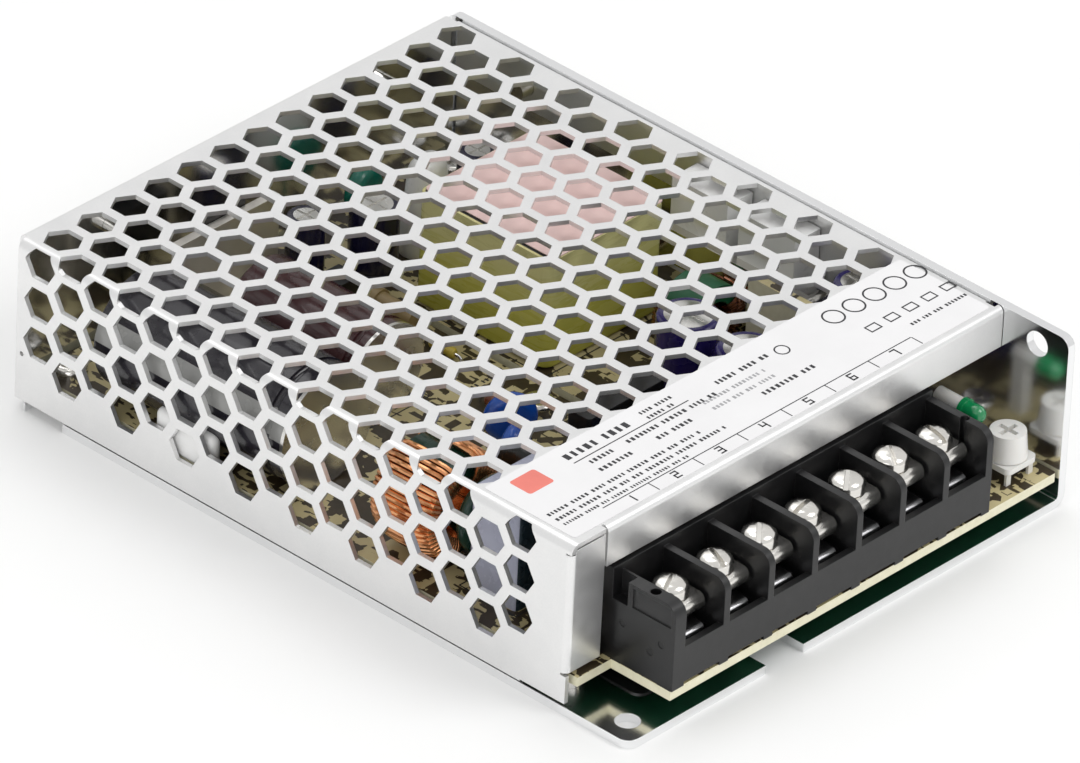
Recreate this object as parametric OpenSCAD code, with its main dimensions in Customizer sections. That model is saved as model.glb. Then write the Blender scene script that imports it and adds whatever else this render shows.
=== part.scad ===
// Enclosed switching power supply: a folded aluminium chassis with a mesh cover,
// a barrier terminal block along one end, and the circuit board that shows through the mesh.
//
// Millimetres. The origin is the centre of the base's underside. +X points to the chassis
// wall, -Y to the terminal end and +Z up. Sheet parts are one solid each, as they are folded.

/* [Case] */
// Overall width, from the mesh side to the chassis wall
case_w = 97; // [96:1:118]
// Overall length, from the terminal end to the rear
case_l = 129; // [128:1:156]
// Overall height
case_h = 30; // [29.5:0.5:37]
// Thickness of the aluminium chassis plate
plate_t = 1.5; // [1.2:0.1:1.8]
// Outer radius of the chassis folds
plate_bend = 2.2; // [2:0.1:3]
// Corner radius of the wall and of the base at the terminal end
plate_corner = 2; // [1:0.5:4]

/* [Cover] */
// Thickness of the mesh cover's sheet
cover_t = 0.8; // [0.6:0.1:1]
// Outer radius of the long fold above the mesh side
cover_bend = 1.6; // [1.3:0.1:2]
// How far the cover stops short of the chassis at the terminal end
cover_setback = 13.1; // [12:0.5:16]
// Depth of the flange above the terminals
flange_h = 7; // [5:0.5:8]
// Width of the tab that closes the side panel's front edge
side_tab_w = 7.4; // [6:0.2:8.4]
// Distance across the flats of a mesh hole
hex_flats = 5.5; // [4.5:0.1:6]
// Distance from one mesh hole to the next in a row
hex_pitch = 7.2; // [6.6:0.1:8.7]
// Solid band behind the flange, which carries the rating label
label_band = 22.5; // [20:0.5:26]
// Running gap between the cover and the chassis
cover_gap = 0.1; // [0.05:0.05:0.2]

/* [Circuit board] */
// Height of the standoffs under the board
standoff_h = 3.3; // [2.7:0.1:4]
// Thickness of the board
board_t = 1.6; // [1.2:0.1:2]
// Gap between the board's edges and the case
board_gap = 0.6; // [0.4:0.1:1]
// Width of the corner cut out of the board beside the terminals
corner_w = 9; // [8:0.5:10]
// Length of that corner
corner_l = 12.2; // [11:0.1:13]

/* [Terminal block] */
// Number of terminals
poles = 7; // [4:1:7]
// Distance from one terminal to the next
pole_pitch = 9.7; // [8:0.1:9.9]
// Thickness of the barriers between terminals
barrier_t = 1.3; // [1:0.1:1.6]
// Height of the barriers above the board
barrier_h = 14.8; // [14:0.1:16]
// Diameter of the terminal screws
clamp_screw_d = 3.5; // [3:0.5:4]
// Thread pitch of the terminal screws
clamp_screw_pitch = 0.6; // [0.5:0.1:0.7]

/* [Transformer] */
// Width of the taped transformer
transformer_w = 26; // [22:1:28]
// Length of the taped transformer
transformer_l = 28; // [24:1:32]
// Height of the transformer above the board
transformer_h = 20; // [17:0.5:22]

/* [Capacitors] */
// Diameter of the large input capacitor
bulk_d = 20; // [16:0.5:20.5]
// Length of the large input capacitor
bulk_l = 40; // [32:1:44]
// Diameter of the second input capacitor
bulk2_d = 16; // [12:0.5:16.5]
// Length of the second input capacitor
bulk2_l = 27; // [22:1:32]

/* [Hidden] */

$fn = 48;
eps = 0.01;

// Case planes
left_x = -case_w / 2;
right_x = case_w / 2;
front_y = -case_l / 2;
rear_y = case_l / 2;
wall_in_x = right_x - plate_t;
label_t = 0.1;
cover_top = case_h - label_t;
cover_front = front_y + cover_setback;
cover_right = wall_in_x - cover_gap;
cover_bottom = plate_t + 0.25;
panel_in_x = left_x + cover_t;
seam = 0.5;
rear_lip_h = 8;
rear_wall_y = rear_y - cover_t - cover_gap;
right_flange_h = 9;
small_bend = cover_t + 0.3;
wall_bend = cover_t + 0.1;

// Base holes
corner_hole_d = 4;
corner_hole = [left_x + 4.3, front_y + 4.2];
wall_hole_d = 4.2;
wall_hole = [front_y + 6.2, case_h - 3.4];
notch_x = left_x + 30;
notch_w = 8.3;
notch_l = 6;
edge_notch_y = rear_y - 11.5;
edge_notch_l = 8;
edge_notch_w = 2;
mount_span = [case_w - 23, case_l - 51];
mount_d = 3;
mount_collar_d = 5.4;
mount_collar_h = 1.2;

// Fasteners
m3_r = 1.5;
m3_clear = 0.05;
m3_head_r = 2.75;
m3_head_h = 1.9;
csk_r = 2.8;
csk_h = 1.3;
cover_screw_y = [front_y + 30, rear_y - 18];
cover_screw_z = cover_top - 5;
rear_screw_x = [-30, 30];
rear_screw_z = cover_top - 4.5;

// Board
board_z = plate_t + standoff_h;
board_top = board_z + board_t;
board_left = panel_in_x + board_gap + 0.3;
board_right = wall_in_x - board_gap + 0.2;
board_front = front_y + 0.3;
board_rear = rear_wall_y - plate_t - 1;
corner_x = left_x + corner_w;
corner_y = front_y + corner_l;
standoff_r = 2.75;
standoffs = [
    [board_left + 4, board_rear - 4], [board_right - 4.5, board_rear - 4],
    [board_left + 4, front_y + 18], [board_right - 4.5, front_y + 21],
    [2, rear_y - 63],
];

// Mesh lattice: rows run along X, half a pitch apart, and carry on over the long fold
row_pitch = hex_pitch * sqrt(3) / 2;
hex_r = hex_flats / sqrt(3);
first_row_y = rear_y - 5.9;
first_hole_x = left_x + 4.9;
top_rows = floor((first_row_y - cover_front - label_band) / row_pitch) + 1;
side_rows = floor((first_row_y - cover_front - 10) / row_pitch) + 1;
last_hole_x = cover_right - 0.9 - hex_r;
side_first_z = case_h - 2.6;
side_last_z = 8.5;
fold_x = left_x + cover_bend;
fold_z = cover_top - cover_bend;

function row_y(k) = first_row_y - k * row_pitch;
function shifted(k) = k % 2;
function top_columns(k) =
    floor((last_hole_x - first_hole_x - shifted(k) * hex_pitch / 2) / hex_pitch);
function side_columns(k) =
    floor((side_first_z - shifted(k) * hex_pitch / 2 - side_last_z) / hex_pitch);

// Terminal block
block_left = corner_x + 0.1;
end_wall_t = 2.4;
bay_w = pole_pitch - barrier_t;
block_right = block_left + end_wall_t + poles * pole_pitch - barrier_t + 1.4;
block_front = front_y + 0.1;
front_wall_t = 1.2;
front_wall_h = 7;
block_foot = 0.7;
bay_rear = cover_front - 0.4;
block_rear = bay_rear + 7.4;
block_h = 15.9;
barrier_top = board_top + barrier_h;
barrier_round = 2.2;
floor_h = 5.6;
plate_seat_z = board_top + floor_h;
tongue_t = 1;
tongue_w = bay_w - 2.6;
tongue_front = block_front + 2.5;
floor_front = tongue_front + tongue_t + 0.12;
tongue_lip = 2.2;
screw_y = block_front + 7.2;
screw_r = clamp_screw_d / 2;
screw_clear = 0.08;
screw_l = 7.5;
screw_head_r = screw_r + 1.15;
screw_head_h = 2.5;
washer_w = bay_w - 1;
washer_l = 7.4;
washer_t = 0.9;
washer_lip = 1.3;
washer_gap = 0.05;
clamp_travel = 2.2;
stop_gap = 0.1;
hinge_r = 0.85;
// How far each screw was backed out beyond clamp_travel, and how its recess points
screw_lift = [0, 0.1, 0.2, 0, 0.8, 0.8, 0.1];
screw_turn = [25, 70, 40, 10, 38, 55, 80];

function bay_x(i) = block_left + end_wall_t + bay_w / 2 + i * pole_pitch;
function washer_z(i) =
    plate_seat_z + tongue_t + stop_gap + clamp_travel + screw_lift[i] + washer_lip;

// Trimmer and status lamp, in the open corner beside the terminals
trimmer_x = block_right + 10;
trimmer_y = front_y + 5.7;
trimmer_leg_h = 2.2;
trimmer_base_t = 1;
trimmer_knob_h = 4.4;
trimmer_knob_r = [3.3, 2.85];
lamp_x = block_right + 7;
lamp_z = board_top + 9.9;
lamp_tip_y = front_y + 8.1;
lamp_r = 1.5;

// Power parts
transformer_x = wall_in_x - 24;
transformer_y = rear_y - 42.9;
tape_t = 0.5;
foot_h = 0.9;
bulk_x = board_left + bulk_d / 2 + 0.1;
bulk_y = rear_y - 15.5 - bulk_l / 2;
bulk2_x = bulk_x + bulk_d / 2 + bulk2_d / 2 + 2.3;
bulk2_y = rear_y - 21.5 - bulk2_l / 2;
choke_x = left_x + 11.7;
choke_y = front_y + 50.7;
choke_r = 9.4;
choke_w = 14;
choke_hole_r = 3.2;
choke_core_r = [4.8, 8];
choke_core_w = 10;
winding_gap = 0.12;
output_choke_x = wall_in_x - 16.2;
output_choke_y = front_y + 59.9;
output_choke_r = 7.4;
output_choke_w = 9;
output_choke_hole_r = 2.2;
output_choke_core_r = [3.4, 6.2];
output_choke_core_w = 6.6;
pad_t = 0.4;
rectifier_y = [front_y + 55.2, front_y + 69.2];
rectifier_body = [4.2, 10, 9];
rectifier_leg_h = 5;
rectifier_tab_h = 15.4;
sleeve_wall = 0.6;
sleeve_gap = 0.15;
bar_t = 1.5;
bar_y = [rectifier_y[0] - 10.6, rectifier_y[1] + 10.6];
sink_x = [left_x + 21.5, left_x + 43.5];
sink_y = rear_y - 14.3;
sink_t = 1.5;
sink_h = 19;

// ---------------------------------------------------------------- shared shapes

// A flat rectangle with round corners, from its lower left corner
module rounded_rect(w, l, r) {
    translate([r, 0]) square([w - 2 * r, l]);
    translate([0, r]) square([w, l - 2 * r]);
    for (x = [r, w - r], y = [r, l - r]) translate([x, y]) circle(r = r);
}

// A centred block with round upright corners
module rounded_block(w, l, h, r) {
    translate([-w / 2, -l / 2, 0]) linear_extrude(h) rounded_rect(w, l, r);
}

// Section of a fold: a foot along +X and a leg up +Y from the outer corner at the origin
module fold_section(foot, leg, t, r) {
    translate([r, 0]) square([foot - r, t]);
    translate([0, r]) square([t, leg - r]);
    intersection() {
        translate([r, r]) difference() {
            circle(r = r);
            circle(r = r - t);
        }
        square(r);
    }
}

// A section drawn in X and Z, extruded along Y from y0 to y1
module along_y(y0, y1) {
    translate([0, y1, 0]) rotate([90, 0, 0]) linear_extrude(y1 - y0) children();
}

// A section drawn in Y and Z, extruded along X from x0 to x1
module along_x(x0, x1) {
    translate([x0, 0, 0]) rotate([90, 0, 90]) linear_extrude(x1 - x0) children();
}

// A mesh hole with points along its own Y
module hex_hole() {
    rotate(30) circle(r = hex_r, $fn = 6);
}

// Cross recess of a screw, cut down from the origin
module cross_recess(span, width, depth) {
    for (a = [0, 90]) {
        rotate(a) translate([-span / 2, -width / 2, -depth]) cube([span, width, depth + eps]);
    }
}

// Pan head screw: the head's underside is at z = 0 and the shank hangs below
module pan_screw(head_r, head_h, shank_r, shank_l) {
    difference() {
        union() {
            rotate_extrude() {
                difference() {
                    square([head_r, head_h]);
                    translate([head_r - head_h * 0.45, head_h * 0.55]) difference() {
                        square(head_h);
                        circle(r = head_h * 0.45);
                    }
                }
            }
            translate([0, 0, -shank_l]) cylinder(r = shank_r, h = shank_l + eps);
        }
        translate([0, 0, head_h]) cross_recess(head_r * 1.25, head_r * 0.28, head_h * 0.5);
    }
}

// Countersunk screw: the flat of the head is at z = 0 and the shank hangs below
module countersunk_screw(shank_l) {
    difference() {
        union() {
            translate([0, 0, -csk_h]) cylinder(r1 = m3_r, r2 = csk_r - m3_clear, h = csk_h);
            translate([0, 0, -csk_h - shank_l]) cylinder(r = m3_r, h = shank_l + eps);
        }
        cross_recess(3.2, 0.7, 0.9);
    }
}

// Sleeved electrolytic capacitor standing on z = 0, with its crimp and vent cross
module electrolytic(d, h) {
    groove = d * 0.035;
    difference() {
        rotate_extrude() {
            difference() {
                square([d / 2, h]);
                translate([d / 2, h * 0.09]) circle(r = groove);
                translate([d / 2 - 0.6, h - 0.6]) difference() {
                    square(1);
                    circle(r = 0.6);
                }
            }
        }
        translate([0, 0, h]) cross_recess(d * 0.62, 0.4, 0.25);
    }
}

// Ring of rectangular section about Z, centred on z = 0
module ring(r_in, r_out, w) {
    rotate_extrude() translate([r_in, -w / 2]) square([r_out - r_in, w]);
}

// Winding that wraps a ring core over one arc, as a shell round the core's section
module ring_winding(core_r, core_w, hole_r, out_r, w, arc) {
    round_r = 2;
    rotate([0, 0, -arc / 2]) rotate_extrude(angle = arc) difference() {
        translate([hole_r, -w / 2]) rounded_rect(out_r - hole_r, w, round_r);
        translate([core_r[0] - winding_gap, -core_w / 2 - winding_gap])
            square([core_r[1] - core_r[0] + 2 * winding_gap, core_w + 2 * winding_gap]);
    }
}

// Radial disc part on two leads, facing +Y, standing on z = 0
module disc_part(d, t, lead_h) {
    translate([0, t / 2, lead_h + d / 2]) rotate([90, 0, 0]) rotate_extrude() {
        translate([0, t * 0.2]) square([d / 2 - t * 0.3, t * 0.6]);
        square([d / 2 - t * 0.5, t]);
        translate([d / 2 - t * 0.5, t / 2]) circle(r = t / 2);
    }
    for (side = [-1, 1]) {
        translate([side * d * 0.28, 0, 0]) cylinder(r = 0.3, h = lead_h + d * 0.3);
    }
}

// ---------------------------------------------------------------- chassis and cover

module chassis() color("gainsboro") {
    rear_cut_x = wall_in_x - 0.4;
    difference() {
        union() {
            difference() {
                along_y(front_y, rear_y) translate([right_x, 0]) mirror([1, 0])
                    fold_section(case_w, case_h, plate_t, plate_bend);
                // The base stops at the rear fold, and the wall runs on past a relief slot
                translate([left_x - 1, rear_wall_y - plate_bend, -1])
                    cube([rear_cut_x - left_x + 1, case_l, case_h + 2]);
                translate([rear_cut_x - eps, rear_wall_y - plate_bend, -1])
                    cube([plate_bend + 1, case_l, plate_bend + 1]);
            }
            along_x(left_x + cover_t + seam, rear_cut_x) translate([rear_wall_y, 0])
                mirror([1, 0]) fold_section(plate_bend + eps, cover_top - cover_t - 0.5,
                    plate_t, plate_bend);
            for (x = [-1, 1], y = [-1, 1]) {
                translate([x * mount_span[0] / 2, y * mount_span[1] / 2, 0])
                    cylinder(d = mount_collar_d, h = plate_t + mount_collar_h);
            }
        }
        chassis_holes();
        chassis_corners();
    }
}

module chassis_holes() {
    translate([corner_hole[0], corner_hole[1], -1]) cylinder(d = corner_hole_d, h = plate_t + 2);
    translate([wall_in_x - 1, wall_hole[0], wall_hole[1]]) rotate([0, 90, 0])
        cylinder(d = wall_hole_d, h = plate_t + 2);
    translate([notch_x, front_y - 1, -1]) cube([notch_w, notch_l + 1, plate_t + 2]);
    translate([left_x - 1, edge_notch_y, -1]) cube([edge_notch_w + 1, edge_notch_l, plate_t + 2]);
    for (x = [-1, 1], y = [-1, 1]) {
        translate([x * mount_span[0] / 2, y * mount_span[1] / 2, -1])
            cylinder(d = mount_d, h = plate_t + mount_collar_h + 2);
    }
    for (y = cover_screw_y) {
        translate([right_x, y, cover_screw_z]) rotate([0, 90, 0]) countersunk_hole();
    }
    for (x = rear_screw_x) {
        translate([x, rear_y, rear_screw_z]) rotate([-90, 0, 0]) countersunk_hole();
    }
}

// Rounds the wall's top corners and the base's corners at the terminal end
module chassis_corners() {
    for (s = [-1, 1]) {
        translate([wall_in_x - 1, s * (rear_y - plate_corner), case_h - plate_corner])
            rotate([0, 90, 0]) corner_cut(plate_corner, plate_t + 2, [-1, s]);
    }
    translate([left_x + plate_corner, front_y + plate_corner, -1])
        corner_cut(plate_corner, plate_t + 2, [-1, -1]);
}

// What a square corner loses when it is rounded: the corner points along dir
module corner_cut(r, h, dir) {
    linear_extrude(h) difference() {
        translate([dir[0] > 0 ? 0 : -r - 1, dir[1] > 0 ? 0 : -r - 1]) square(r + 1);
        circle(r = r);
    }
}

module cover() color("whitesmoke") {
    difference() {
        union() {
            top_panel();
            side_panel();
            front_flange();
            right_flange();
            rear_lip();
        }
        fold_holes();
        cover_screw_holes();
    }
}

// Flat top, with its mesh cut in the plane before it gets its thickness
module top_panel() {
    x0 = fold_x;
    x1 = cover_right - wall_bend;
    y0 = cover_front + small_bend;
    y1 = rear_y - small_bend;
    translate([0, 0, cover_top - cover_t]) linear_extrude(cover_t) difference() {
        union() {
            translate([x0, y0]) square([x1 - x0, y1 - y0]);
            translate([x0, cover_front]) square([left_x + side_tab_w - x0, small_bend + eps]);
        }
        for (k = [0 : top_rows - 1], j = [0 : top_columns(k)]) {
            translate([first_hole_x + (j + shifted(k) / 2) * hex_pitch, row_y(k)]) hex_hole();
        }
    }
}

// The long fold and the mesh side below it
module side_panel() {
    y1 = rear_y - cover_t - seam;
    along_y(cover_front, y1) translate([left_x, cover_top]) mirror([0, 1])
        fold_section(cover_bend + eps, cover_bend + eps, cover_t, cover_bend);
    along_x(left_x, panel_in_x) difference() {
        translate([cover_front + small_bend, cover_bottom])
            square([y1 - cover_front - small_bend, fold_z - cover_bottom]);
        for (k = [0 : side_rows - 1], j = [0 : side_columns(k)]) {
            translate([row_y(k), side_first_z - (j + shifted(k) / 2) * hex_pitch])
                rotate(90) hex_hole();
        }
        translate([cover_front, cover_bottom - eps]) square([9, 0.3]);
        translate([rear_y - 2.5, 10]) circle(d = 0.8);
    }
    side_tab();
}

// The tab folded in from the side panel's front edge, with slits round its bend
module side_tab() {
    tab_z = board_top + 0.8;
    translate([0, 0, tab_z]) linear_extrude(fold_z - 0.3 - tab_z) translate([left_x, cover_front])
        fold_section(small_bend + 2 * eps, small_bend + eps, cover_t, small_bend);
    translate([left_x + small_bend, cover_front, tab_z])
        cube([side_tab_w - small_bend, cover_t, cover_top - cover_t - 0.3 - tab_z]);
    translate([left_x, cover_front, cover_bottom + 0.3])
        cube([cover_t, small_bend + eps, tab_z - 0.7 - cover_bottom]);
}

// The flange above the terminals
module front_flange() {
    along_x(left_x + side_tab_w + seam, cover_right) translate([cover_front, cover_top])
        mirror([0, 1]) fold_section(small_bend + eps, flange_h, cover_t, small_bend);
}

// The flange that lies inside the chassis wall
module right_flange() {
    along_y(cover_front + 3, rear_y - 3) translate([cover_right, cover_top])
        mirror([1, 0]) mirror([0, 1])
            fold_section(wall_bend + eps, right_flange_h, cover_t, wall_bend);
}

// The lip outside the chassis's rear wall
module rear_lip() {
    along_x(fold_x, cover_right - wall_bend) translate([rear_y, cover_top])
        mirror([1, 0]) mirror([0, 1])
            fold_section(small_bend + eps, rear_lip_h, cover_t, small_bend);
}

// Mesh holes that cross the long fold. The hole's outline follows the sheet round the fold:
// its upper part is cut down through the top, its lower part in through the side.
module fold_holes() {
    arc = cover_bend * PI / 2;
    for (k = [0 : side_rows - 1]) {
        translate([0, row_y(k), 0]) {
            if (shifted(k) == 1 && k < top_rows) top_fold_hole(arc);
            if (shifted(k) == 0) side_fold_hole();
        }
    }
}

// Half the width of a mesh hole at distance d from its centre, towards a flat
function hex_half(d) = hex_r - d / sqrt(3);

// A hole centred near the top edge of the fold, which reaches a little way down the side
module top_fold_hole(arc) {
    hole_x = first_hole_x - hex_pitch / 2;
    reach = hex_flats / 2 - (hole_x - fold_x) - arc;
    side_half = hex_half(hole_x - left_x);
    translate([0, 0, fold_z]) linear_extrude(cover_bend + 1) intersection() {
        translate([hole_x, 0]) hex_hole();
        translate([left_x - 1, -hex_r]) square([hex_flats + 4, 2 * hex_r]);
    }
    along_x(left_x - 1, panel_in_x + 0.2) polygon([
        [-side_half, fold_z + eps], [side_half, fold_z + eps],
        [hex_r / 2, fold_z - reach], [-hex_r / 2, fold_z - reach],
    ]);
}

// A hole centred on the side, whose upper edge reaches into the fold
module side_fold_hole() {
    low_half = hex_half(fold_z - side_first_z);
    along_x(left_x - 1, fold_x) polygon([
        [-low_half, fold_z - eps], [low_half, fold_z - eps],
        [hex_r / 2, cover_top - 0.35], [-hex_r / 2, cover_top - 0.35],
    ]);
}

module cover_screw_holes() {
    for (y = cover_screw_y) {
        translate([cover_right - cover_t - 1, y, cover_screw_z]) rotate([0, 90, 0])
            cylinder(r = m3_r + m3_clear, h = cover_t + 2);
    }
    for (x = rear_screw_x) {
        translate([x, rear_y, rear_screw_z]) rotate([-90, 0, 0]) countersunk_hole();
    }
}

// Cut for a countersunk screw whose head is flush with the plane z = 0
module countersunk_hole() {
    translate([0, 0, -csk_h]) cylinder(r1 = m3_r + m3_clear, r2 = csk_r, h = csk_h);
    translate([0, 0, -eps]) cylinder(r = csk_r, h = 1);
    translate([0, 0, -csk_h - 4]) cylinder(r = m3_r + m3_clear, h = 4 + eps);
}

module cover_screws() color("silver") {
    for (y = cover_screw_y) {
        translate([right_x, y, cover_screw_z]) rotate([0, 90, 0]) countersunk_screw(3.5);
    }
    for (x = rear_screw_x) {
        translate([x, rear_y, rear_screw_z]) rotate([-90, 0, 0]) countersunk_screw(3.5);
    }
}

module rating_label() color("white") {
    translate([fold_x + 0.4, cover_front + 1.4, cover_top]) linear_extrude(label_t)
        rounded_rect(cover_right - small_bend - fold_x - 0.8, 18.4, 0.8);
}

// ---------------------------------------------------------------- board and its fixings

module insulation_sheet() color("black") {
    sheet_t = 0.25;
    x0 = corner_x + 1;
    y0 = front_y + notch_l + 1;
    translate([0, 0, plate_t]) linear_extrude(sheet_t) difference() {
        translate([x0, y0]) rounded_rect(board_right - 2 - x0, board_rear - 1.5 - y0, 2);
        for (p = standoffs) translate(p) circle(r = standoff_r + 0.5);
        for (x = [-1, 1], y = [-1, 1]) {
            translate([x * mount_span[0] / 2, y * mount_span[1] / 2])
                circle(d = mount_collar_d + 1);
        }
    }
}

module circuit_board() color("wheat") {
    translate([0, 0, board_z]) linear_extrude(board_t) difference() {
        translate([board_left, board_front])
            rounded_rect(board_right - board_left, board_rear - board_front, 0.5);
        translate([board_left - 1, board_front - 1])
            square([corner_x - board_left + 1, corner_y - board_front + 1]);
        for (p = standoffs) translate(p) circle(r = m3_r + 0.1);
        // Slot that keeps the mains side apart from the output side
        translate([transformer_x - transformer_w / 2 - 3, -8]) rounded_rect(1.6, 44, 0.7);
    }
}

module board_standoffs() color("silver") {
    for (p = standoffs) translate([p[0], p[1], plate_t]) difference() {
        cylinder(r = standoff_r, h = standoff_h);
        translate([0, 0, -1]) cylinder(r = m3_r + m3_clear, h = standoff_h + 2);
    }
}

module board_screws() color("silver") {
    for (p = standoffs) translate([p[0], p[1], board_top])
        pan_screw(m3_head_r, m3_head_h, m3_r, board_t + 2.5);
}

// ---------------------------------------------------------------- terminals

module terminal_block() color("#1b1b1d") {
    difference() {
        union() {
            // Rear body, under the flange
            translate([block_left, bay_rear, board_top])
                cube([block_right - block_left, block_rear - bay_rear, block_h]);
            // Floor that the terminal plates lie on, and the sill in front of it
            translate([block_left, floor_front, board_top])
                cube([block_right - block_left, bay_rear - floor_front + eps, floor_h]);
            translate([block_left, block_front, board_top])
                cube([block_right - block_left, floor_front - block_front + eps, 1.4]);
            translate([block_left, block_front, board_top])
                cube([block_right - block_left, front_wall_t, front_wall_h]);
            for (i = [1 : poles - 1]) {
                x = bay_x(i) - bay_w / 2 - barrier_t;
                along_x(x, x + barrier_t) barrier_section();
            }
            along_x(block_left, block_left + end_wall_t) barrier_section();
            along_x(block_right - 1.4, block_right) barrier_section();
        }
        terminal_block_cuts();
    }
}

// A barrier from the side: straight top, rounded where it meets the front
module barrier_section() {
    l = bay_rear - block_front + eps;
    translate([block_front, board_top]) difference() {
        square([l, barrier_h]);
        translate([barrier_round, barrier_h - barrier_round]) rotate(90) difference() {
            square(barrier_round + 1);
            circle(r = barrier_round);
        }
    }
}

module terminal_block_cuts() {
    // The screws' tips run in blind pockets
    for (i = [0 : poles - 1]) {
        translate([bay_x(i), screw_y, board_top + 1]) cylinder(r = screw_r + 0.5, h = floor_h);
    }
    // The front wall stands on feet, one under each barrier
    for (i = [0 : poles - 1]) {
        translate([bay_x(i) - bay_w / 2 + 0.2, block_front - 1, board_top - eps])
            cube([bay_w - 0.6, front_wall_t + 1, block_foot]);
    }
    // Hinge holes for a terminal cover, in the end walls
    for (p = [[block_left + 1.2, hinge_r], [block_right - 0.9, hinge_r - 0.15]]) {
        translate([p[0], block_front + 5.2, barrier_top - 5]) cylinder(r = p[1], h = 6);
    }
    // Shallow panel in the open end wall's outer face
    translate([block_left - 1, block_front + 0.9, board_top + 10.8])
        cube([1.25, bay_rear - 4 - block_front - 0.9, 3.4]);
    // Step down behind the hinge at the open end wall
    translate([block_left - 1, bay_rear - 3, board_top + 10.6]) cube([end_wall_t - 0.4 + 1, 3, 8]);
    // Ejector marks on the end wall
    for (p = [[block_front + 2.6, 7.1], [block_front + 10.4, 7.2], [block_front + 4.8, 4.8]]) {
        translate([block_left - eps, p[0], board_top + p[1]]) rotate([0, 90, 0])
            cylinder(d = 1.2, h = 0.15);
    }
}

// Tongues that the wires are clamped on, folded down over the front of the floor
module terminal_plates() color("silver") {
    for (i = [0 : poles - 1]) translate([bay_x(i), 0, 0]) difference() {
        along_x(-tongue_w / 2, tongue_w / 2)
            translate([tongue_front, plate_seat_z + tongue_t]) mirror([0, 1])
                fold_section(bay_rear - tongue_front - 0.1, tongue_lip, tongue_t, tongue_t + 0.1);
        translate([0, screw_y, plate_seat_z - 1]) cylinder(r = screw_r + screw_clear, h = 4);
    }
}

module terminal_screw(i) color("silver") {
    translate([bay_x(i), screw_y, washer_z(i) + washer_t + washer_gap]) rotate(screw_turn[i])
        pan_screw(screw_head_r, screw_head_h, screw_r, screw_l);
}

// Square clamp plate under a screw head, with its front and rear edges folded down
module clamp_washer(i) color("silver") {
    r = washer_t + 0.3;
    translate([bay_x(i), screw_y, washer_z(i)]) difference() {
        along_x(-washer_w / 2, washer_w / 2) for (s = [0, 1]) mirror([s, 0]) {
            translate([-washer_l / 2, washer_t]) mirror([0, 1])
                fold_section(washer_l / 2 + eps, washer_t + washer_lip, washer_t, r);
        }
        translate([0, 0, -1]) cylinder(r = screw_r + screw_clear, h = washer_t + 2);
    }
}

// ---------------------------------------------------------------- trimmer and lamp

module trimmer_base() color("ivory") {
    pin_r = 1.1;
    translate([trimmer_x, trimmer_y, board_top]) {
        translate([0, 0, trimmer_leg_h]) rounded_block(6.8, 6.8, trimmer_base_t, 1);
        translate([0, 0, trimmer_leg_h + trimmer_base_t - eps]) cylinder(r = pin_r, h = 2);
        for (p = [[-2.5, -2.6], [2.5, -2.6], [0, 2.6]]) {
            translate([p[0] - 0.5, p[1] - 0.25, 0]) cube([1, 0.5, trimmer_leg_h + eps]);
        }
    }
}

module trimmer_knob() color("white") {
    pin_r = 1.1;
    translate([trimmer_x, trimmer_y, board_top + trimmer_leg_h + trimmer_base_t + 0.1])
        difference() {
            cylinder(r1 = trimmer_knob_r[0], r2 = trimmer_knob_r[1], h = trimmer_knob_h);
            translate([0, 0, -1]) cylinder(r = pin_r + 0.05, h = 3.2);
            translate([0, 0, trimmer_knob_h]) cross_recess(3.6, 0.8, 1.2);
        }
}

module status_led() color("green") {
    translate([lamp_x, lamp_tip_y, lamp_z]) rotate([-90, 0, 0]) rotate_extrude() intersection() {
        union() {
            translate([0, lamp_r]) circle(r = lamp_r);
            translate([0, lamp_r]) square([lamp_r, 2.6]);
            translate([0, 3.4]) square([lamp_r + 0.2, 0.8]);
        }
        square([lamp_r + 1, 10]);
    }
}

// White holder behind the lamp, standing on the board
module led_spacer() color("whitesmoke") {
    y0 = lamp_tip_y + 4.25;
    translate([lamp_x, y0, lamp_z]) rotate([-90, 0, 0]) cylinder(r = lamp_r - 0.15, h = 5);
    translate([lamp_x - 1.1, y0 + 2.4, board_top]) cube([2.2, 2.4, lamp_z - board_top]);
}

// ---------------------------------------------------------------- transformer

module transformer_core() color("dimgray") {
    w = transformer_w - 2 * tape_t;
    l = transformer_l - 2 * tape_t;
    window = 6;
    translate([transformer_x, transformer_y, board_top + foot_h]) difference() {
        rounded_block(w, l, transformer_h - foot_h - 0.2, 1.4);
        for (s = [-1, 1]) {
            translate([s * (w / 4 + 0.6) - window / 2, -l / 2 + 5, -1])
                cube([window, l - 10, transformer_h + 2]);
        }
    }
}

// Wound bobbin in the core's windows, on the feet that hold it off the board
module transformer_winding() color("goldenrod") {
    w = transformer_w - 2 * tape_t;
    l = transformer_l - 2 * tape_t;
    window = 6 - 0.3;
    translate([transformer_x, transformer_y, board_top]) for (s = [-1, 1]) {
        translate([s * (w / 4 + 0.6) - window / 2, -l / 2 + 5.15, 0])
            cube([window, l - 10.3, transformer_h - 0.4]);
    }
}

module transformer_tape() color("khaki") {
    r = 1.9;
    translate([transformer_x, transformer_y, board_top + foot_h - 0.4]) difference() {
        rounded_block(transformer_w, transformer_l, transformer_h - foot_h + 0.3, r);
        translate([0, 0, -1]) rounded_block(transformer_w - 2 * tape_t, transformer_l - 2 * tape_t,
            transformer_h + 2, r - tape_t);
    }
}

module transformer_label() color("mistyrose") {
    translate([transformer_x + 0.5, transformer_y, board_top + transformer_h - 0.1])
        rounded_block(transformer_w - 1.2, transformer_l - 0.4, 0.15, 1.2);
}

// ---------------------------------------------------------------- mains side

// A capacitor laid on the board along Y, its base end towards the terminals
module lying_capacitor(x, y, d, l) {
    translate([x, y - l / 2, board_top + d / 2]) rotate([-90, 0, 0]) electrolytic(d, l);
}

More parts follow.
